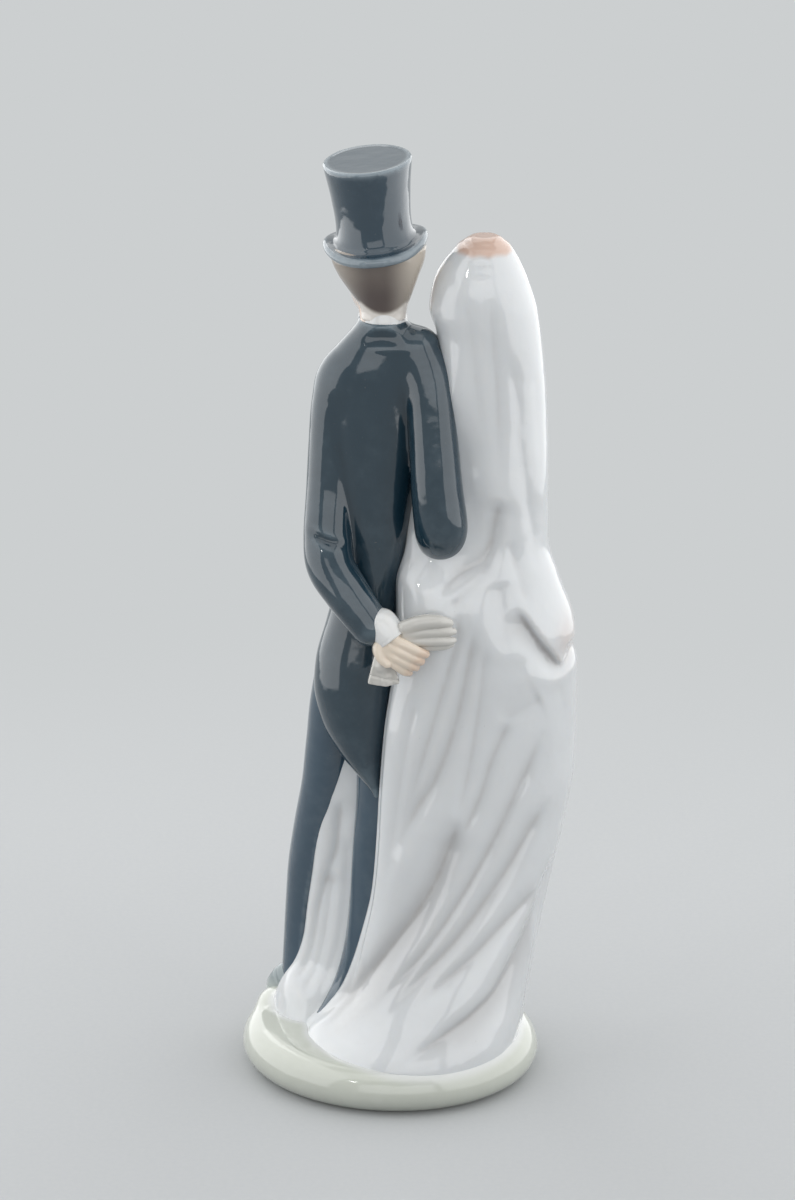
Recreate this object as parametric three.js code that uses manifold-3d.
// A glazed porcelain figurine of a wedding couple who stand side by side, his arm linked with hers.
// It is modelled as the potter assembles it: each moulded casting is its own closed body,
// and neighbouring castings keep a thin luting seam between them.
//
// Units are millimetres. +Z is up, the couple faces -Y, and the groom stands on the +X side.
// A "rise" is a height above the top of the base. A station of an upright body is
// [rise, least x, greatest x, front y, back y], with how far its greatest x lies behind its middle
// where the oval is skewed, and one of a limb is [x, y, rise, radius].

import * as THREE from "three";
import { mergeVertices } from "three/addons/utils/BufferGeometryUtils.js";
import Module from "manifold-3d";

const wasm = await Module();
wasm.setup();

// Driving dimensions

const seam = 0.3;
const surfaceTolerance = 0.05;
const skyRise = 400;

const baseHalfWidth = 29.9;
const baseHalfDepth = 27.8;
const baseThickness = 9;
const baseTurn = THREE.MathUtils.degToRad(-23);
const rimRound = 5.2;
const rimMiddle = 0.46;
const footRingWidth = 3.2;
const footRecess = 1.2;
const ventRadius = 3.6;
const ventX = -13;
const ventY = 0;

const groomX = 3;
const tailTipRise = 50.2;
const hipRise = 68;
const seatDrop = 4;
const coatWaistRise = 90;
const coatButtonRise = 97;
const groomChestRise = 118;
const groomShoulderRise = 134;
const coatNeckRise = 144.4;
const collarHeight = 5.2;
const groomChinRise = 145.2;
const groomHeadHeight = 23;
const groomHeadHalfWidth = 7.6;
const groomHeadHalfDepth = 8.9;
const neckRadius = 4.2;
const sleeveRadius = 4.7;
const cuffRadius = 3.9;
const legRadius = 4.3;
const lapelThickness = 0.8;

const brimRise = 160.2;
const brimHalfWidth = 10.1;
const brimHalfDepth = 13;
const brimThickness = 1.9;
const brimCurl = 1.1;
const crownHeight = 17.1;
const crownHalfWidth = 8.6;
const crownDepthRatio = 1.25;
const hatLean = THREE.MathUtils.degToRad(5.6);

const brideX = -18.4;
const brideWaistRise = 96;
const brideBustRise = 114;
const brideShoulderRise = 130;
const brideNeckRise = 136;
const brideChinRise = 141.6;
const brideHeadHeight = 19.6;
const brideHeadHalfWidth = 5.9;
const brideHeadHalfDepth = 7.3;
const brideHairThickness = 1.5;
const brideSleeveRadius = 2.5;
const veilThickness = 2.4;
const sashHeight = 4;
const sashThickness = 0.9;

const bouquetX = -20.5;
const bouquetY = -15.6;
const bouquetRise = 103;
const bouquetRadius = 3.6;
const roseRadius = 2.5;
const leafLength = 3.6;

// Colours of the glazes and how each one shines

const glaze = (color) => new THREE.MeshStandardMaterial({ color, roughness: 0.12, metalness: 0 });
const glazeColors = {
  base: 0xd3d8cc,
  gown: 0xe8eaec,
  veil: 0xeceef0,
  coat: 0x5b7080,
  trousers: 0x64778a,
  waistcoat: 0xb4bdc4,
  linen: 0xf1f2f1,
  skin: 0xf0dccd,
  groomHair: 0x8a7c76,
  brideHair: 0xc8a48c,
  glove: 0xdbd9d1,
  shoe: 0x8e9a9c,
  rose: 0xe7bcb6,
  leaf: 0x93a98e,
};

// Geometry helpers

const { lerp, clamp, degToRad } = THREE.MathUtils;
const wholeTurn = 2 * Math.PI;

/** Turns a closed three.js geometry into a solid that can be joined and cut. */
function solid(geometry) {
  const bare = geometry.clone();
  bare.deleteAttribute("normal");
  bare.deleteAttribute("uv");
  const merged = mergeVertices(bare, 1e-4);
  return new wasm.Manifold(
    new wasm.Mesh({
      numProp: 3,
      vertProperties: merged.attributes.position.array,
      triVerts: new Uint32Array(merged.index.array),
    }),
  );
}

/** Turns a solid back into a three.js geometry. */
function geometryOf(body) {
  const mesh = body.getMesh();
  const geometry = new THREE.BufferGeometry();
  geometry.setAttribute("position", new THREE.BufferAttribute(mesh.vertProperties, 3));
  geometry.setIndex(new THREE.BufferAttribute(mesh.triVerts, 1));
  geometry.computeVertexNormals();
  return geometry;
}

/** Closed skin over rings of points that all have the same number of points. */
function skin(rings) {
  const count = rings[0].length;
  const last = rings.length - 1;
  const points = rings.flat();
  const positions = points.flatMap((point) => point.toArray());
  const index = [];
  for (let level = 0; level < last; level++) {
    for (let i = 0; i < count; i++) {
      const a = level * count + i;
      const b = level * count + ((i + 1) % count);
      index.push(a, b, b + count, a, b + count, a + count);
    }
  }
  const middle = (ring) =>
    ring.reduce((sum, point) => sum.add(point), new THREE.Vector3()).divideScalar(count);
  positions.push(...middle(rings[0]).toArray(), ...middle(rings[last]).toArray());
  for (let i = 0; i < count; i++) {
    const next = (i + 1) % count;
    index.push(points.length, next, i);
    index.push(points.length + 1, last * count + i, last * count + next);
  }
  const geometry = new THREE.BufferGeometry();
  geometry.setAttribute("position", new THREE.Float32BufferAttribute(positions, 3));
  geometry.setIndex(index);
  return solid(geometry);
}

/** Values between stations, whose first entries rise, on a curve that never overshoots them. */
function eased(stations, at) {
  const last = stations.length - 1;
  let i = 0;
  while (i < last - 1 && at > stations[i + 1][0]) i++;
  const slope = (a, b, k) => (stations[b][k] - stations[a][k]) / (stations[b][0] - stations[a][0]);
  const tangent = (station, k) => {
    if (station === 0) return slope(0, 1, k);
    if (station === last) return slope(last - 1, last, k);
    const before = slope(station - 1, station, k);
    const after = slope(station, station + 1, k);
    return before * after <= 0 ? 0 : (2 * before * after) / (before + after);
  };
  const span = stations[i + 1][0] - stations[i][0];
  const t = clamp((at - stations[i][0]) / span, 0, 1);
  return stations[0].slice(1).map((_, column) => {
    const k = column + 1;
    const start = (1 + 2 * t) * (1 - t) ** 2 * stations[i][k];
    const end = t * t * (3 - 2 * t) * stations[i + 1][k];
    const leave = t * (1 - t) ** 2 * span * tangent(i, k);
    const arrive = t * t * (t - 1) * span * tangent(i + 1, k);
    return start + end + leave + arrive;
  });
}

/**
 * Upright body of stacked ovals through its stations. fold(x, rise, isBack) is how far the cloth
 * stands out there, and grow makes the whole body larger on every side.
 */
function stack(stations, { grow = 0, sides = 20, between = 1, fold } = {}) {
  const rises = [];
  for (let i = 0; i < stations.length - 1; i++) {
    for (let part = 0; part < between; part++) {
      rises.push(lerp(stations[i][0], stations[i + 1][0], part / between));
    }
  }
  rises.push(stations.at(-1)[0]);
  const rings = rises.map((rise, level) => {
    const [left, right, front, back, skew = 0] = eased(stations, rise);
    const lift = level === 0 ? -grow : level === rises.length - 1 ? grow : 0;
    const ring = [];
    for (let i = 0; i < sides; i++) {
      const angle = (i / sides) * wholeTurn;
      const x = (left + right) / 2 + ((right - left) / 2) * Math.cos(angle);
      const out = grow + (fold ? fold(x, rise, Math.sin(angle)) : 0);
      const px = x + out * Math.cos(angle);
      const py = (front + back) / 2 + ((back - front) / 2 + out) * Math.sin(angle) + skew * Math.cos(angle);
      ring.push(new THREE.Vector3(px, py, baseThickness + rise + lift));
    }
    return ring;
  });
  return skin(rings);
}

/** Round-ended limb through its stations; a fifth entry flattens it along the flat direction. */
function limb(stations, { grow = 0, sides = 10, steps = 9, flat = [1, 0, 0] } = {}) {
  const points = stations.map(([x, y, rise]) => new THREE.Vector3(x, y, baseThickness + rise));
  const curve = new THREE.CatmullRomCurve3(points, false, "catmullrom", 0.5);
  const radii = stations.map(([, , , wide, thin = wide], i) => [i / (stations.length - 1), thin, wide]);
  const rings = [];
  const addRing = (t, shrink, slide) => {
    const along = curve.getTangent(t);
    const thinWay = new THREE.Vector3(...flat);
    thinWay.addScaledVector(along, -along.dot(thinWay)).normalize();
    const wideWay = new THREE.Vector3().crossVectors(along, thinWay);
    const [thin, wide] = eased(radii, t).map((radius) => (radius + grow) * shrink);
    const centre = curve.getPoint(t).addScaledVector(along, slide);
    const ring = [];
    for (let i = 0; i < sides; i++) {
      const angle = (i / sides) * wholeTurn;
      const point = centre.clone().addScaledVector(thinWay, thin * Math.cos(angle));
      ring.push(point.addScaledVector(wideWay, wide * Math.sin(angle)));
    }
    rings.push(ring);
  };
  const domeAngles = [60, 30].map(degToRad);
  const startReach = radii[0][1] + grow;
  const endReach = radii.at(-1)[1] + grow;
  domeAngles.forEach((angle) => addRing(0, Math.cos(angle), -startReach * Math.sin(angle)));
  for (let step = 0; step <= steps; step++) addRing(step / steps, 1, 0);
  domeAngles.toReversed().forEach((angle) => addRing(1, Math.cos(angle), endReach * Math.sin(angle)));
  return skin(rings);
}

/** Ellipsoid centred at [x, y, rise] with the given half-sizes, turned by Euler angles. */
function ellipsoid([x, y, rise], halfSizes, { grow = 0, detail = 1, turn = [0, 0, 0] } = {}) {
  const geometry = new THREE.IcosahedronGeometry(1, detail);
  geometry.scale(...halfSizes.map((half) => half + grow));
  geometry.applyMatrix4(new THREE.Matrix4().makeRotationFromEuler(new THREE.Euler(...turn)));
  geometry.translate(x, y, baseThickness + rise);
  return solid(geometry);
}

/** Prism through the whole figurine along X, from an outline of [y, rise] points. */
function sidePrism(outline) {
  const shape = new THREE.Shape(outline.map(([y, rise]) => new THREE.Vector2(y, baseThickness + rise)));
  const reach = 3 * baseHalfWidth;
  const geometry = new THREE.ExtrudeGeometry(shape, { depth: 2 * reach, bevelEnabled: false });
  const axes = [new THREE.Vector3(0, 1, 0), new THREE.Vector3(0, 0, 1), new THREE.Vector3(1, 0, 0)];
  geometry.applyMatrix4(new THREE.Matrix4().makeBasis(...axes));
  geometry.translate(-reach, 0, 0);
  return solid(geometry);
}

/** Prism in front of the plane y = backY, from an outline of [x, rise] points. */
function frontPrism(outline, backY) {
  const shape = new THREE.Shape(outline.map(([x, rise]) => new THREE.Vector2(x, baseThickness + rise)));
  const reach = 2 * baseHalfDepth;
  const geometry = new THREE.ExtrudeGeometry(shape, { depth: reach, bevelEnabled: false });
  const axes = [new THREE.Vector3(1, 0, 0), new THREE.Vector3(0, 0, 1), new THREE.Vector3(0, -1, 0)];
  geometry.applyMatrix4(new THREE.Matrix4().makeBasis(...axes));
  geometry.translate(0, backY, 0);
  return solid(geometry);
}

/** Slab between two rises, wide enough to cut anything on the base. */
function slab(low, high) {
  const reach = 6 * baseHalfWidth;
  const geometry = new THREE.BoxGeometry(reach, reach, high - low);
  geometry.translate(0, 0, baseThickness + (low + high) / 2);
  return solid(geometry);
}

const cut = (body, ...tools) => tools.reduce((left, tool) => left.subtract(tool), body);
const join = (...bodies) => bodies.reduce((left, body) => left.add(body));

/** The largest connected body, without the crumbs and needle faces that a cut leaves behind. */
function mainBody(body) {
  const pieces = body.simplify(surfaceTolerance).decompose();
  return pieces.reduce((best, piece) => (piece.volume() > best.volume() ? piece : best));
}

const underBase = slab(-baseThickness, seam);

/** Stations moved sideways, for figures that are drawn about their own axis. */
const shifted = (dx, stations) =>
  stations.map(([rise, left, right, ...others]) => [rise, left + dx, right + dx, ...others]);

// Base: a low oval plinth on an unglazed foot ring, with a vent into the hollow casting

/** Oval disc about the base's turned axes, with its profile as [inset, height] from the axis out. */
function ovalDisc(profile) {
  const points = profile.map(([inset, height]) => new THREE.Vector2(baseHalfWidth - inset, height));
  points.unshift(new THREE.Vector2(0, profile[0][1]));
  points.push(new THREE.Vector2(0, profile.at(-1)[1]));
  const geometry = new THREE.LatheGeometry(points, 36);
  geometry.rotateX(Math.PI / 2);
  geometry.scale(1, baseHalfDepth / baseHalfWidth, 1);
  geometry.rotateZ(baseTurn);
  return solid(geometry);
}

function makeBase() {
  const middle = baseThickness * rimMiddle;
  const rim = [-90, -62, -34, 0, 30, 60, 90].map(degToRad).map((angle) => {
    const inset = rimRound * (1 - Math.cos(angle));
    const reach = angle < 0 ? middle : baseThickness - middle;
    return [inset, middle + reach * Math.sin(angle)];
  });
  const bodyDisc = ovalDisc(rim);
  const recessInset = rimRound + footRingWidth;
  const recess = ovalDisc([
    [recessInset, -1],
    [recessInset, footRecess],
  ]);
  const vent = new THREE.CylinderGeometry(ventRadius, ventRadius, 4 * baseThickness, 24);
  vent.rotateX(Math.PI / 2);
  vent.translate(ventX, ventY, 0);
  return cut(bodyDisc, recess, solid(vent));
}

// Groom: trousers and shoe

const leftLeg = (grow = 0) =>
  limb(
    [
      [groomX + 7.4, -2.5, hipRise, legRadius + 0.7],
      [groomX + 9.4, -5, 50.3, legRadius + 0.4],
      [groomX + 11.4, -7.4, 39.5, legRadius],
      [groomX + 13, -9.6, 29.8, legRadius - 0.1],
      [groomX + 13.9, -11.2, 21, legRadius - 0.2],
      [groomX + 14.4, -12.3, 12, legRadius - 0.2],
      [groomX + 14.8, -12.9, 3.4, legRadius - 0.2],
    ],
    { grow },
  );

const rightLeg = (grow = 0) =>
  limb(
    [
      [groomX - 1, 0.5, hipRise, legRadius + 0.4],
      [groomX - 0.7, 0.8, 49.3, legRadius],
      [groomX + 0.3, 0.8, 36.4, legRadius - 0.1],
      [groomX + 1, 0.8, 25.6, legRadius - 0.2],
      [groomX + 2.2, 0.8, 16.5, legRadius - 0.4],
      [groomX + 4.9, 0.6, 8.4, legRadius - 0.9],
      [groomX + 8.4, 0.3, 3, legRadius - 1.7],
    ],
    { grow },
  );

/** Height up the trouser seat, which reaches from the top of the legs into the coat's waist. */
const seatAt = (share) => lerp(hipRise - seatDrop, coatWaistRise - seam, share);
const trouserSeat = (grow = 0) =>
  stack(
    shifted(groomX, [
      [seatAt(0), -3.4, 12.4, -6.6, 4.6],
      [seatAt(0.31), -3.8, 11.5, -7.2, 5.2],
      [seatAt(0.66), -3.9, 9.4, -7.2, 5],
      [seatAt(1), -3.8, 6.8, -6.6, 4.2],
    ]),
    { grow, between: 2 },
  );

/** One trouser leg, cut off level where the seat begins. */
const legBelowSeat = (leg, grow) => cut(leg(grow), slab(seatAt(0) + grow, skyRise));
const seatAboveLegs = (grow) => cut(trouserSeat(grow), slab(-baseThickness, seatAt(0) + seam - grow));

const shoeHeading = degToRad(-30);
const leftShoe = (grow = 0) =>
  cut(
    ellipsoid([groomX + 16.9, -12.8, 1.4], [6.1, 3.1, 3.4], { grow, turn: [0, 0, shoeHeading] }),
    slab(-baseThickness, seam),
  );

// Groom: tailcoat, waistcoat and shirt

const coatTorsoStations = shifted(groomX, [
  [coatWaistRise, -4.6, 7.4, -7.5, 5],
  [coatButtonRise, -6.2, 6.8, -7.8, 5.3],
  [groomChestRise - 8, -8, 8, -8.6, 6],
  [groomChestRise + 8, -9.4, 8.8, -9, 6.8],
  [groomShoulderRise, -9.2, 9.2, -8.2, 6.6],
  [139.5, -7.4, 8, -6.8, 6],
  [142.6, -7, 6, -5.6, 5.4],
  [coatNeckRise, -5.6, 3.6, -4.8, 5],
]);
const coatTorso = (grow = 0) => stack(coatTorsoStations, { grow });

const tailFrontEdge = [
  [-20, coatWaistRise + 5],
  [-20, coatWaistRise - 5],
  [-7.6, coatWaistRise - 7],
  [-5.6, 77],
  [-2.6, 70],
  [0.6, 63],
  [3.4, 56],
  [4.6, 48],
  [30, 40],
  [30, coatWaistRise + 5],
];
const coatTails = (grow = 0) =>
  stack(
    shifted(groomX, [
      [tailTipRise, -0.9, -0.1, 3.2, 6.6],
      [tailTipRise + 1.2, -1.5, 1, 0, 6.9],
      [53.4, -1.9, 2.9, -3, 7.2],
      [58, -2.6, 6.8, -5, 7.6],
      [64.8, -3.8, 10.5, -6.5, 7.9],
      [71.7, -4.5, 11.9, -8, 7.9],
      [77, -4.7, 11.5, -8.4, 7.4],
      [84, -4.8, 9.6, -8.2, 6.2],
      [coatWaistRise - seam, -4.6, 7.4, -7.5, 5],
    ]),
    { grow },
  );

/** Half the width of the coat's front opening, which widens towards the neck. */
const openingHalfAt = (rise) =>
  lerp(0.7, 4.8, (rise - coatButtonRise) / (coatNeckRise - coatButtonRise));

/** The coat's front opening between two rises, with its edges moved out by ease. */
function coatOpening(low, high, ease) {
  const middle = groomX - 0.8;
  const outline = [
    [middle - openingHalfAt(low) - ease, low],
    [middle + openingHalfAt(low) + ease, low],
    [middle + openingHalfAt(high) + ease, high],
    [middle - openingHalfAt(high) - ease, high],
  ];
  return frontPrism(outline, ease - 2);
}
const waistcoatTopRise = 127;

const openCoat = (grow) =>
  cut(coatTorso(grow), coatOpening(coatButtonRise + grow, skyRise, seam - grow));

const waistcoat = (grow) =>
  coatTorso(grow - 0.5).intersect(coatOpening(coatButtonRise - grow, waistcoatTopRise + grow, grow));
const shirtFront = (grow) =>
  coatTorso(grow - 0.9).intersect(coatOpening(waistcoatTopRise + seam - grow, skyRise, grow));

function lapel(side, grow) {
  const edge = (rise, out) => groomX - 0.8 + side * (openingHalfAt(rise) + seam + out);
  const outline = [
    [edge(98, 0), 98],
    [edge(98, 0.2), 98],
    [edge(112, 2.4), 112],
    [edge(122, 3.8), 122],
    [edge(126, 2.2), 126],
    [edge(129, 3.4), 129],
    [edge(141, 0.9), 141],
    [edge(141, 0), 141],
  ];
  if (side < 0) outline.reverse();
  const strip = frontPrism(outline, -2);
  return coatTorso(grow + seam + lapelThickness).intersect(strip).subtract(coatTorso(seam - grow));
}

const groomHeadX = groomX - 0.8;
const groomHeadY = -2.6;

const groomNeck = (grow = 0) =>
  limb(
    [
      [groomX - 1.6, 0.4, coatNeckRise - 4, neckRadius],
      [groomX - 1.5, 0.2, coatNeckRise + 1, neckRadius],
      [groomX - 1.2, -0.8, coatNeckRise + 5, neckRadius - 0.7],
    ],
    { grow, sides: 14, steps: 2 },
  );

/** A station of the groom's head at a share of its height, with its half-width and its depths. */
const headStation = (share, half, front, back) => [
  groomChinRise + share * groomHeadHeight,
  groomHeadX - half * groomHeadHalfWidth,
  groomHeadX + half * groomHeadHalfWidth,
  groomHeadY - front * groomHeadHalfDepth,
  groomHeadY + back * groomHeadHalfDepth,
];
const groomFace = (grow = 0) =>
  ellipsoid([groomHeadX, groomHeadY - 3, groomChinRise + 7.4], [4.6, 5.2, 7.4], { grow, detail: 2 });
const groomSkull = (grow = 0) =>
  stack(
    [
      headStation(0.18, 0.46, 0.2, 0.66),
      headStation(0.25, 0.52, 0.4, 0.7),
      headStation(0.31, 0.62, 0.6, 0.78),
      headStation(0.45, 0.88, 0.88, 0.9),
      headStation(0.57, 0.96, 0.98, 0.98),
      headStation(0.65, 0.86, 0.9, 0.9),
      headStation(0.76, 0.74, 0.78, 0.78),
      headStation(0.9, 0.5, 0.54, 0.54),
      headStation(1, 0.16, 0.16, 0.16),
    ],
    { grow },
  );
const groomEar = (side, grow = 0) => {
  const place = [groomHeadX + side * groomHeadHalfWidth, groomHeadY - 0.8, groomChinRise + 10.6];
  return ellipsoid(place, [0.9, 1.5, 2.3], { grow });
};

const groomHead = (grow = 0) =>
  join(groomSkull(grow), groomFace(grow), groomNeck(grow), groomEar(-1, grow), groomEar(1, grow));

/** In front of the groom's hairline, which runs behind his ears and under the hat. */
const groomFaceSide = [
  [-40, 100],
  [-0.6, 100],
  [-0.6, groomChinRise + 6],
  [-1.6, groomChinRise + 8.4],
  [-2, groomChinRise + 13],
  [-5, groomChinRise + 16],
  [-40, groomChinRise + 40],
];
/** The hair widens from the nape like a wine glass. */
const groomHair = (grow = 0) =>
  cut(
    stack(
      [
        headStation(0.2, 0.6, 0.2, 0.78),
        headStation(0.24, 0.64, 0.3, 0.81),
        headStation(0.31, 0.77, 0.5, 0.88),
        headStation(0.45, 1.03, 0.7, 1.03),
        headStation(0.58, 1.19, 0.9, 1.12),
        headStation(0.74, 1.17, 0.96, 1.13),
      ],
      { grow, between: 2 },
    ),
    sidePrism(groomFaceSide),
    aboveBrim(grow),
  );

const shirtCollar = (grow = 0) =>
  stack(
    [
      [coatNeckRise - 2, groomX - 6.4, groomX + 3.4, -4.8, 5.1],
      [coatNeckRise + collarHeight / 2, groomX - 6.2, groomX + 3.2, -5.3, 4.9],
      [coatNeckRise + collarHeight, groomX - 6, groomX + 3, -5.6, 4.5],
    ],
    { grow },
  );

const bowTie = (grow = 0) => {
  const at = [groomX - 1.4, -6.6, coatNeckRise + 0.2];
  const wing = (side) =>
    ellipsoid([at[0] + side * 2.3, at[1], at[2]], [2.3, 0.8, 1.3], { grow, turn: [0, side * 0.25, 0] });
  return join(wing(-1), wing(1), ellipsoid(at, [0.9, 1.1, 1], { grow }));
};

// Groom: arms, cuffs, hands and the gloves that he carries

const leftSleeve = (grow = 0) =>
  limb(
    [
      [groomX + 6.2, 0.5, 137.4, sleeveRadius - 0.4],
      [groomX + 7.9, 1, 131, sleeveRadius],
      [groomX + 8.7, 1.5, 121, sleeveRadius],
      [groomX + 9, 2.6, 111, sleeveRadius],
      [groomX + 9.1, 4.2, 103.5, sleeveRadius],
      [groomX + 8.4, 6.8, 98.8, sleeveRadius],
      [groomX + 5.4, 9.6, 94.4, sleeveRadius - 0.3],
      [groomX + 0.6, 12.1, 88.2, sleeveRadius - 0.8],
    ],
    { grow, sides: 12, steps: 12 },
  );

const rightSleeve = (grow = 0) =>
  limb(
    [
      [groomX - 7.4, 1.5, 140.2, sleeveRadius - 0.4],
      [groomX - 10.6, 4, 132.5, sleeveRadius],
      [groomX - 12, 5.6, 121, sleeveRadius],
      [groomX - 12.4, 5.8, 110, sleeveRadius],
      [groomX - 12.4, 4.2, 104.9, sleeveRadius - 0.2],
      [groomX - 12, -0.8, 102.6, sleeveRadius - 0.4],
      [groomX - 10, -6.8, 103, sleeveRadius - 0.7],
      [groomX - 7.4, -10, 103.6, sleeveRadius - 1],
    ],
    { grow, sides: 12, steps: 12 },
  );

const leftWrist = [groomX - 1.5, 13.1, 85.6];
const leftFist = [groomX - 5.6, 14.1, 83];
const rightWrist = [groomX - 4.8, -11.6, 104];
const rightPalm = [groomX - 0.2, -11.9, 104.6];

const leftCuff = (grow = 0) =>
  limb([[groomX - 0.4, 12.6, 86.8, cuffRadius - 0.4], [...leftWrist, cuffRadius - 0.7]], {
    grow,
    sides: 12,
    steps: 1,
    flat: [0, 1, 0],
  });
const rightCuff = (grow = 0) =>
  limb([[groomX - 6.6, -10.7, 103.7, cuffRadius - 0.3], [...rightWrist, cuffRadius - 0.6]], {
    grow,
    sides: 12,
    steps: 1,
    flat: [0, 0, 1],
  });

const leftHand = (grow = 0) =>
  join(
    ellipsoid(leftFist, [3.9, 2.8, 3.5], { grow, turn: [0, degToRad(20), 0] }),
    limb([[...leftWrist, 2.3], [...leftFist, 2.6]], { grow, steps: 2, flat: [0, 1, 0] }),
  );
const rightHand = (grow = 0) =>
  join(
    ellipsoid(rightPalm, [4, 1.6, 2.7], { grow }),
    limb([[...rightWrist, 2.1], [...rightPalm, 1.6]], { grow, steps: 2, flat: [0, 0, 1] }),
  );

const gloves = (grow = 0) =>
  limb(
    [
      [leftFist[0] + 4.6, leftFist[1] + 0.9, leftFist[2] - 4.2, 3.1, 1],
      [leftFist[0] + 2.6, leftFist[1] + 0.8, leftFist[2] - 2.4, 2.5, 1],
      [leftFist[0], leftFist[1] + 0.5, leftFist[2] + 0.2, 1.4, 0.9],
      [leftFist[0] - 3.2, leftFist[1] + 0.4, leftFist[2] + 2.6, 2.4, 1],
      [leftFist[0] - 6.6, leftFist[1] + 0.2, leftFist[2] + 3.6, 2.7, 0.9],
    ],
    { grow, sides: 12, steps: 8, flat: [0, 1, 0] },
  );

// Groom: top hat, built upright about its own axis and then leaned

function leaned(body) {
  const matrix = new THREE.Matrix4().makeRotationY(hatLean);
  matrix.setPosition(groomX - 0.4, -3, baseThickness + brimRise);
  return body.transform(matrix.elements);
}

function oval(halfWidth, halfDepth, height, rollUp = 0, sides = 24) {
  const ring = [];
  for (let i = 0; i < sides; i++) {
    const angle = (i / sides) * wholeTurn;
    const lift = rollUp * Math.cos(angle) ** 4;
    ring.push(new THREE.Vector3(halfWidth * Math.cos(angle), halfDepth * Math.sin(angle), height + lift));
  }
  return ring;
}

/** Everything above the underside of the brim. */
function aboveBrim(grow) {
  const geometry = new THREE.BoxGeometry(4 * brimHalfDepth, 4 * brimHalfDepth, crownHeight * 2);
  geometry.translate(0, 0, crownHeight - brimThickness / 2 - seam + grow);
  return leaned(solid(geometry));
}

const crownHalfAt = (height) =>
  eased(
    [
      [-1, crownHalfWidth - 0.5],
      [1, crownHalfWidth - 1],
      [5, crownHalfWidth - 1.4],
      [10, crownHalfWidth - 1.05],
      [crownHeight, crownHalfWidth],
    ],
    height,
  )[0];

function crownShape(low, high, grow = 0) {
  const rings = [];
  const levels = 4;
  for (let level = 0; level <= levels; level++) {
    const height = lerp(low, high, level / levels);
    const half = crownHalfAt(height) + grow;
    rings.push(oval(half, crownHalfAt(height) * crownDepthRatio + grow, height));
  }
  return skin(rings);
}

function hatCrown(grow = 0) {
  const softTop = crownHeight - 0.5;
  const body = crownShape(-brimThickness / 2 - grow, softTop + grow, grow);
  const half = crownHalfWidth + grow;
  const depth = crownHalfWidth * crownDepthRatio + grow;
  const top = skin([
    oval(half, depth, softTop + grow),
    oval(half - 0.1, depth - 0.1, crownHeight - 0.2 + grow),
    oval(half - 0.6, depth - 0.6, crownHeight + grow),
  ]);
  return leaned(join(body, top));
}

function hatBrim() {
  const half = brimThickness / 2;
  const inner = 4;
  const plate = skin([
    oval(inner, inner * crownDepthRatio, -half),
    oval(crownHalfWidth, crownHalfWidth * crownDepthRatio, -half, brimCurl * 0.35),
    oval(brimHalfWidth - 0.5, brimHalfDepth - 0.5, -half, brimCurl),
    oval(brimHalfWidth, brimHalfDepth, 0, brimCurl + 0.2),
    oval(brimHalfWidth - 0.5, brimHalfDepth - 0.5, half, brimCurl),
    oval(crownHalfWidth, crownHalfWidth * crownDepthRatio, half, brimCurl * 0.35),
    oval(inner, inner * crownDepthRatio, half),
  ]);
  return leaned(plate);
}

// Bride: veil and train, gown, sash and bodice

/** Valleys in the cloth, each a run of [x, rise] points with its half-width and its depth. */
const valleys = [
  { points: [[-11.5, 154], [-11.1, 140], [-10.8, 126]], width: 1.3, depth: 0.5 },
  { points: [[-18.4, 156], [-19.2, 122]], width: 1.3, depth: 0.5 },
  { points: [[-24.8, 153], [-26, 126]], width: 1.3, depth: 0.5 },
  { points: [[-21.1, 116.6], [-17.4, 101], [-12.6, 95], [-7.8, 92.4]], width: 1.6, depth: 0.8 },
  { points: [[-22.2, 104.6], [-24.2, 92.7], [-30.1, 81.1], [-33.5, 77.8]], width: 1.5, depth: 1 },
  { points: [[-13.6, 73], [-9.8, 54], [-5.9, 37.4], [1, 18.8], [8.9, 5.6]], width: 2.4, depth: 1.4 },
  { points: [[-25.3, 64.5], [-17.6, 46.3], [-11.8, 32], [-2, 16]], width: 2, depth: 1.2 },
  { points: [[-29.5, 34], [-23.6, 30.4], [-12.8, 22.3], [-7.9, 17.5]], width: 1.8, depth: 1.1 },
  { points: [[-32.8, 36.6], [-25.6, 22.4], [-17.7, 8.4], [-9.8, 3.4]], width: 1.9, depth: 1.4 },
];

function distanceToRun([x, rise], points) {
  let nearest = Infinity;
  for (let i = 0; i < points.length - 1; i++) {
    const [ax, ar] = points[i];
    const [dx, dr] = [points[i + 1][0] - ax, points[i + 1][1] - ar];
    const t = clamp(((x - ax) * dx + (rise - ar) * dr) / (dx * dx + dr * dr), 0, 1);
    nearest = Math.min(nearest, Math.hypot(x - ax - t * dx, rise - ar - t * dr));
  }
  return nearest;
}

/** How far the veil's outside lies below its full surface, on the back only. */
function veilFold(x, rise, towardsBack) {
  const share = clamp(towardsBack * 2, 0, 1);
  const sunk = valleys.map(({ points, width, depth }) => {
    const distance = distanceToRun([x, rise], points);
    return depth * Math.exp(-((distance / width) ** 2));
  });
  return -share * Math.max(...sunk);
}

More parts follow.
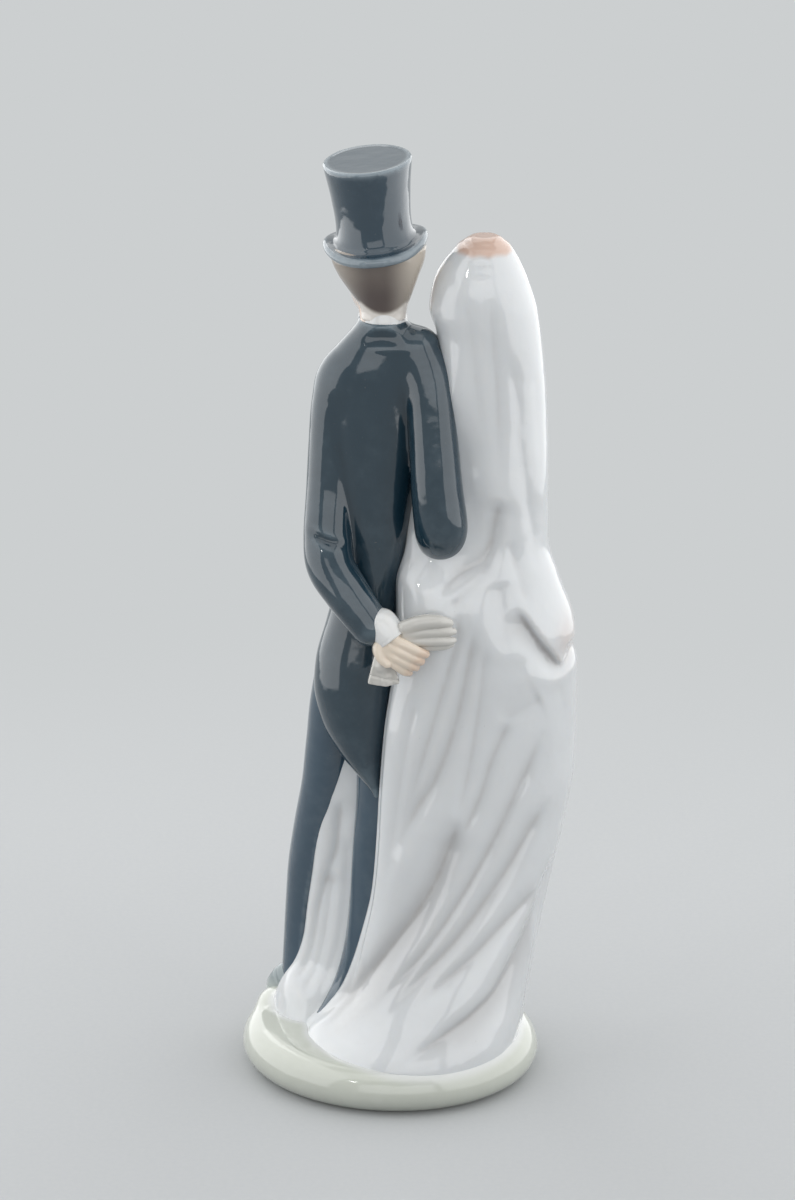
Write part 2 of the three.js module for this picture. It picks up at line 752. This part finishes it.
const veilStations = shifted(brideX, [
  [seam, -8.4, 35.2, -20, 25.8, 0],
  [9.5, -9.6, 28.6, -15, 21.2, 3],
  [21.5, -11.7, 24, -12.5, 17, 5.5],
  [32, -14, 21.8, -11, 14.6, 6.5],
  [42, -16.3, 21, -10, 13.2, 7],
  [53, -18, 20.4, -10, 12.2, 7],
  [65.4, -18.4, 19.4, -9.5, 11.8, 6.5],
  [75, -18.4, 17.9, -9.2, 11.7, 5.4],
  [79.4, -17.3, 17, -9, 11.6, 5],
  [82.6, -17.8, 17, -9, 11.6, 4.6],
  [94, -14.4, 17.2, -8.5, 10.5, 3],
  [101, -12.4, 15.4, -8, 9.5, 2],
  [117, -12.2, 13.9, -8, 8.5, 0],
  [131.5, -11.7, 11.4, -8, 8, 0],
  [143.6, -10.6, 9.5, -8.5, 8.3, 0],
  [148.6, -9.8, 10.9, -9, 8.5, 0],
  [152.6, -8.6, 10.4, -9, 8, 0],
  [156, -7.3, 9.2, -8.5, 7, 0],
  [160, -4.9, 6.1, -6.5, 4.5, 0],
  [161.9, -2.6, 3.4, -4.6, 2.4, 0],
  [162.6, -0.6, 1.2, -2.6, -0.8, 0],
]);
const veilOuter = () => stack(veilStations, { sides: 34, between: 2, fold: veilFold });
const veilInner = () =>
  stack(veilStations.slice(0, -2), { grow: -veilThickness });

/** Everything in front of the veil's open edge, seen from the side. */
const beforeVeil = [
  [-60, -20],
  [-9, -20],
  [-8.6, 0],
  [-5.5, 30],
  [-3.5, 60],
  [-4, 80],
  [-4.6, 96],
  [-3, 120],
  [-2.6, 138],
  [-3.2, 150],
  [-1.8, 157],
  [1.2, 160],
  [3, 162],
  [3.4, 175],
  [-60, 175],
];
const veil = () => cut(veilOuter(), sidePrism(beforeVeil), veilInner());

const gownSkirt = (grow = 0) =>
  stack(
    shifted(brideX, [
      [seam, -5.2, 31.2, -22.5, 22, 0],
      [9.5, -6.6, 24.8, -19, 17.8, 3],
      [21.5, -8.7, 20.4, -16, 13.6, 5],
      [42, -13, 17.4, -13, 9.8, 6],
      [brideWaistRise - 36, -14.4, 14, -11, 8.4, 5.5],
      [brideWaistRise - 20, -11.6, 10.6, -9, 6.6, 3],
      [brideWaistRise - 8, -7.6, 7.8, -7.4, 4.4, 1],
      [brideWaistRise - 2, -6, 6, -6.8, 2.8, 0],
    ]),
    { grow },
  );

/** Hollow that the poured slip leaves inside the skirt, open at the bottom. */
const castingHollow = () =>
  stack(
    shifted(brideX, [
      [-2, -3, 13.6, -14, 14],
      [20, -4.4, 11.6, -10.5, 9],
      [45, -7.4, 8.8, -8, 6],
      [brideWaistRise - 28, -6.6, 5.4, -5.4, 4],
      [brideWaistRise - 18, -3, 2.4, -3, 1],
    ]),
    { sides: 16 },
  );

const skirtSweep = (grow = 0) =>
  stack(
    shifted(groomX, [
      [seam, -3, 19.9, -16.4, -0.4],
      [10, -4, 16, -13.4, -0.2],
      [20, -5, 13.4, -11.6, 0],
      [30, -6, 11.6, -10.2, 0.3],
      [40, -7, 10, -9.2, 0.5],
      [51, -7.6, 7.6, -8.4, 0.5],
      [hipRise - seatDrop - seam, -7.6, 5.2, -7.8, 0],
    ]),
    { grow },
  );

const bodice = (grow = 0) =>
  stack(
    shifted(brideX, [
      [brideWaistRise - 2 + seam, -6, 6, -6.8, 2.8],
      [brideWaistRise + 6, -6.2, 6, -7.4, 2.8],
      [brideBustRise, -7.2, 6.8, -9.6, 3.2],
      [brideBustRise + 10, -7.6, 7, -7.6, 3.6],
      [brideShoulderRise, -7.8, 7.2, -5.8, 3.8],
      [brideShoulderRise + 3.4, -6.4, 6, -4.8, 3.2],
      [brideNeckRise, -3.6, 3.2, -3.8, 2.2],
    ]),
    { grow },
  );

const sash = (grow = 0) =>
  cut(
    stack(
      shifted(brideX, [
        [brideWaistRise - 2, -6, 6, -6.8, 2.8],
        [brideWaistRise + sashHeight - 2, -6.1, 6, -7.2, 2.8],
      ]),
      { grow: seam + sashThickness + grow },
    ),
    stack(
      shifted(brideX, [
        [brideWaistRise - 4, -6.6, 6.6, -7, 3.2],
        [brideWaistRise - 2, -6, 6, -6.8, 2.8],
        [brideWaistRise + sashHeight, -6.15, 6, -7.3, 2.8],
      ]),
      { grow: seam - grow },
    ),
  );

// Bride: head, hair, arms and hands

const brideHeadCentre = [brideX + 0.1, -3.2, brideChinRise + brideHeadHeight / 2];
const brideHeadHalves = [brideHeadHalfWidth, brideHeadHalfDepth, brideHeadHeight / 2];
const brideSkull = (grow = 0) => ellipsoid(brideHeadCentre, brideHeadHalves, { grow, detail: 2 });
const brideNeck = (grow = 0) =>
  limb(
    [
      [brideX - 0.2, -0.6, brideNeckRise - 4, 2.9],
      [brideX - 0.1, -1, brideNeckRise + 3, 2.6],
      [brideX, -1.6, brideNeckRise + 9, 2.8],
    ],
    { grow, sides: 12, steps: 3 },
  );
const brideHairShape = (grow = 0) =>
  ellipsoid(
    [brideHeadCentre[0], brideHeadCentre[1] + 0.4, brideHeadCentre[2] + 0.5],
    brideHeadHalves.map((half) => half + brideHairThickness),
    { grow, detail: 2 },
  );

const brideRightSleeve = (grow = 0) =>
  limb(
    [
      [brideX - 6, 0, brideShoulderRise + 1, brideSleeveRadius + 0.3],
      [brideX - 7, 0.4, 118, brideSleeveRadius],
      [brideX - 7.6, 0, 106, brideSleeveRadius - 0.1],
      [brideX - 9.4, -1, 97, brideSleeveRadius - 0.1],
      [brideX - 11.8, -3.6, 91.6, brideSleeveRadius - 0.1],
      [brideX - 10.8, -8, 92.4, brideSleeveRadius - 0.4],
      [brideX - 7.8, -11.4, 95.4, brideSleeveRadius - 0.7],
    ],
    { grow, sides: 10, steps: 12 },
  );
const brideLeftSleeve = (grow = 0) =>
  limb(
    [
      [brideX + 5.8, 0, brideShoulderRise + 1, brideSleeveRadius + 0.3],
      [brideX + 6.4, -2, 119, brideSleeveRadius],
      [brideX + 7, -5, 111.4, brideSleeveRadius - 0.1],
      [brideX + 9, -9, 109.4, brideSleeveRadius - 0.3],
      [brideX + 11.2, -11.6, 109.2, brideSleeveRadius - 0.6],
    ],
    { grow, sides: 10, steps: 8 },
  );

const brideRightHand = (grow = 0) =>
  join(
    ellipsoid([bouquetX + 0.2, bouquetY + 1.4, bouquetRise - 5.4], [2.9, 2, 2.1], { grow }),
    limb(
      [
        [brideX - 7, -12.2, 96.2, 1.5],
        [bouquetX - 1, bouquetY + 1.6, bouquetRise - 5.6, 1.6],
      ],
      { grow, steps: 2, sides: 10, flat: [0, 0, 1] },
    ),
  );
const brideLeftHand = (grow = 0) =>
  join(
    ellipsoid([brideX + 14.6, -13.8, 108.9], [2.9, 2.1, 1.2], { grow, turn: [0, 0, -0.5] }),
    limb(
      [
        [brideX + 11.8, -12.1, 109.2, 1.4],
        [brideX + 14.2, -13.6, 109, 1.1],
      ],
      { grow, steps: 2, sides: 10, flat: [0, 0, 1] },
    ),
  );

/** In front of the bride's hairline. */
const brideFaceSide = [
  [-40, 120],
  [-0.5, 120],
  [-0.5, brideChinRise + 4],
  [-5, brideChinRise + 9],
  [-7.4, brideChinRise + 14],
  [-8, brideChinRise + 15.6],
  [-40, brideChinRise + 18],
];
const brideHead = (grow = 0) => join(brideSkull(grow), brideNeck(grow));
const brideHair = (grow = 0) => cut(brideHairShape(grow), sidePrism(brideFaceSide));

// Bouquet: leaves and stems carry a dome of roses

const roseSeats = [
  [0, -2.6, 0.6],
  [-3.1, -1, 1.2],
  [3.1, -1, 1.2],
  [-1.7, 0.2, 3.4],
  [1.9, 0.4, 3.3],
  [-1.8, -1.6, -2],
  [2, -1.5, -1.9],
];
const bouquetHeart = (grow = 0) =>
  join(
    ellipsoid([bouquetX, bouquetY, bouquetRise], [bouquetRadius, bouquetRadius, bouquetRadius], { grow }),
    limb(
      [
        [bouquetX, bouquetY, bouquetRise - 2, 1.5],
        [bouquetX + 0.2, bouquetY + 0.6, bouquetRise - 6, 1.1],
        [bouquetX + 0.6, bouquetY + 0.9, bouquetRise - 11, 1.4],
      ],
      { grow, steps: 4, sides: 10 },
    ),
  );
const roseAt = (index, grow = 0) => {
  const [dx, dy, dz] = roseSeats[index];
  const place = [bouquetX + dx, bouquetY - 1 + dy, bouquetRise + dz];
  return ellipsoid(place, [roseRadius, roseRadius, roseRadius], { grow });
};
const leafAngles = [205, 335, 90].map(degToRad);
const leafAt = (index, grow = 0) => {
  const angle = leafAngles[index];
  const reach = bouquetRadius + 1.6;
  const place = [
    bouquetX + reach * Math.cos(angle),
    bouquetY + 0.6,
    bouquetRise + reach * Math.sin(angle),
  ];
  return ellipsoid(place, [leafLength, 0.7, 1.7], { grow, turn: [0, -angle, 0] });
};

const boutonniere = (grow = 0) =>
  ellipsoid([groomX + 4.6, -9.9, 126.5], [1.7, 1.3, 1.7], { grow });

// Assembly: castings in the order that they are fitted, each one cut back by a luting seam
// wherever an earlier casting passes through its space

const castings = [
  ["base", (grow) => (grow ? underBase : makeBase()), "base"],
  ["left_trouser_leg", (grow) => legBelowSeat(leftLeg, grow), "trousers"],
  ["right_trouser_leg", (grow) => legBelowSeat(rightLeg, grow), "trousers"],
  ["trouser_seat", seatAboveLegs, "trousers"],
  ["left_shoe", leftShoe, "shoe"],
  ["right_sleeve", rightSleeve, "coat"],
  ["left_sleeve", leftSleeve, "coat"],
  ["groom_head", groomHead, "skin"],
  ["shirt_collar", shirtCollar, "linen"],
  ["bride_head", brideHead, "skin"],
  ["gown_bodice", bodice, "gown"],
  ["gown_skirt", (grow) => (grow ? gownSkirt(grow) : cut(gownSkirt(), castingHollow())), "gown"],
  ["skirt_sweep", skirtSweep, "gown"],
  ["waist_sash", sash, "veil"],
  ["coat_body", openCoat, "coat"],
  ["coat_tails", (grow) => coatTails(grow).intersect(sidePrism(tailFrontEdge)), "coat"],
  ["waistcoat", waistcoat, "waistcoat"],
  ["shirt_front", shirtFront, "linen"],
  ["right_lapel", (grow) => lapel(-1, grow), "coat"],
  ["left_lapel", (grow) => lapel(1, grow), "coat"],
  ["bow_tie", bowTie, "linen"],
  ["boutonniere", boutonniere, "rose"],
  ["left_cuff", leftCuff, "linen"],
  ["right_cuff", rightCuff, "linen"],
  ["gloves", gloves, "glove"],
  ["left_hand", leftHand, "skin"],
  ["right_hand", rightHand, "skin"],
  ["hat_crown", hatCrown, "coat"],
  ["hat_brim", hatBrim, "coat"],
  ["groom_hair", groomHair, "groomHair"],
  ["bride_right_sleeve", brideRightSleeve, "gown"],
  ["bride_left_sleeve", brideLeftSleeve, "gown"],
  ["bouquet_stems", bouquetHeart, "leaf"],
  ["bride_right_hand", brideRightHand, "skin"],
  ["bride_left_hand", brideLeftHand, "skin"],
  ...roseSeats.map((_, i) => [`bouquet_rose_${i + 1}`, (grow) => roseAt(i, grow), "rose"]),
  ...leafAngles.map((_, i) => [`bouquet_leaf_${i + 1}`, (grow) => leafAt(i, grow), "leaf"]),
  ["bride_hair", brideHair, "brideHair"],
  ["bridal_veil", veil, "veil"],
];

const figurine = new THREE.Group();
const taken = [];
for (const [name, shape, glazeName] of castings) {
  const whole = shape(0);
  const box = whole.boundingBox();
  const near = taken.filter((space) => {
    const other = space.boundingBox();
    return [0, 1, 2].every((axis) => other.min[axis] < box.max[axis] && other.max[axis] > box.min[axis]);
  });
  const casting = mainBody(cut(whole, ...near));
  const mesh = new THREE.Mesh(geometryOf(casting), glaze(glazeColors[glazeName]));
  mesh.name = name;
  figurine.add(mesh);
  taken.push(shape(seam));
}

// The origin is at the middle of the footprint, on the surface that the figurine stands on
const bounds = new THREE.Box3().setFromObject(figurine);
const middle = bounds.getCenter(new THREE.Vector3());
figurine.position.set(-middle.x, -middle.y, -bounds.min.z);

export default figurine;
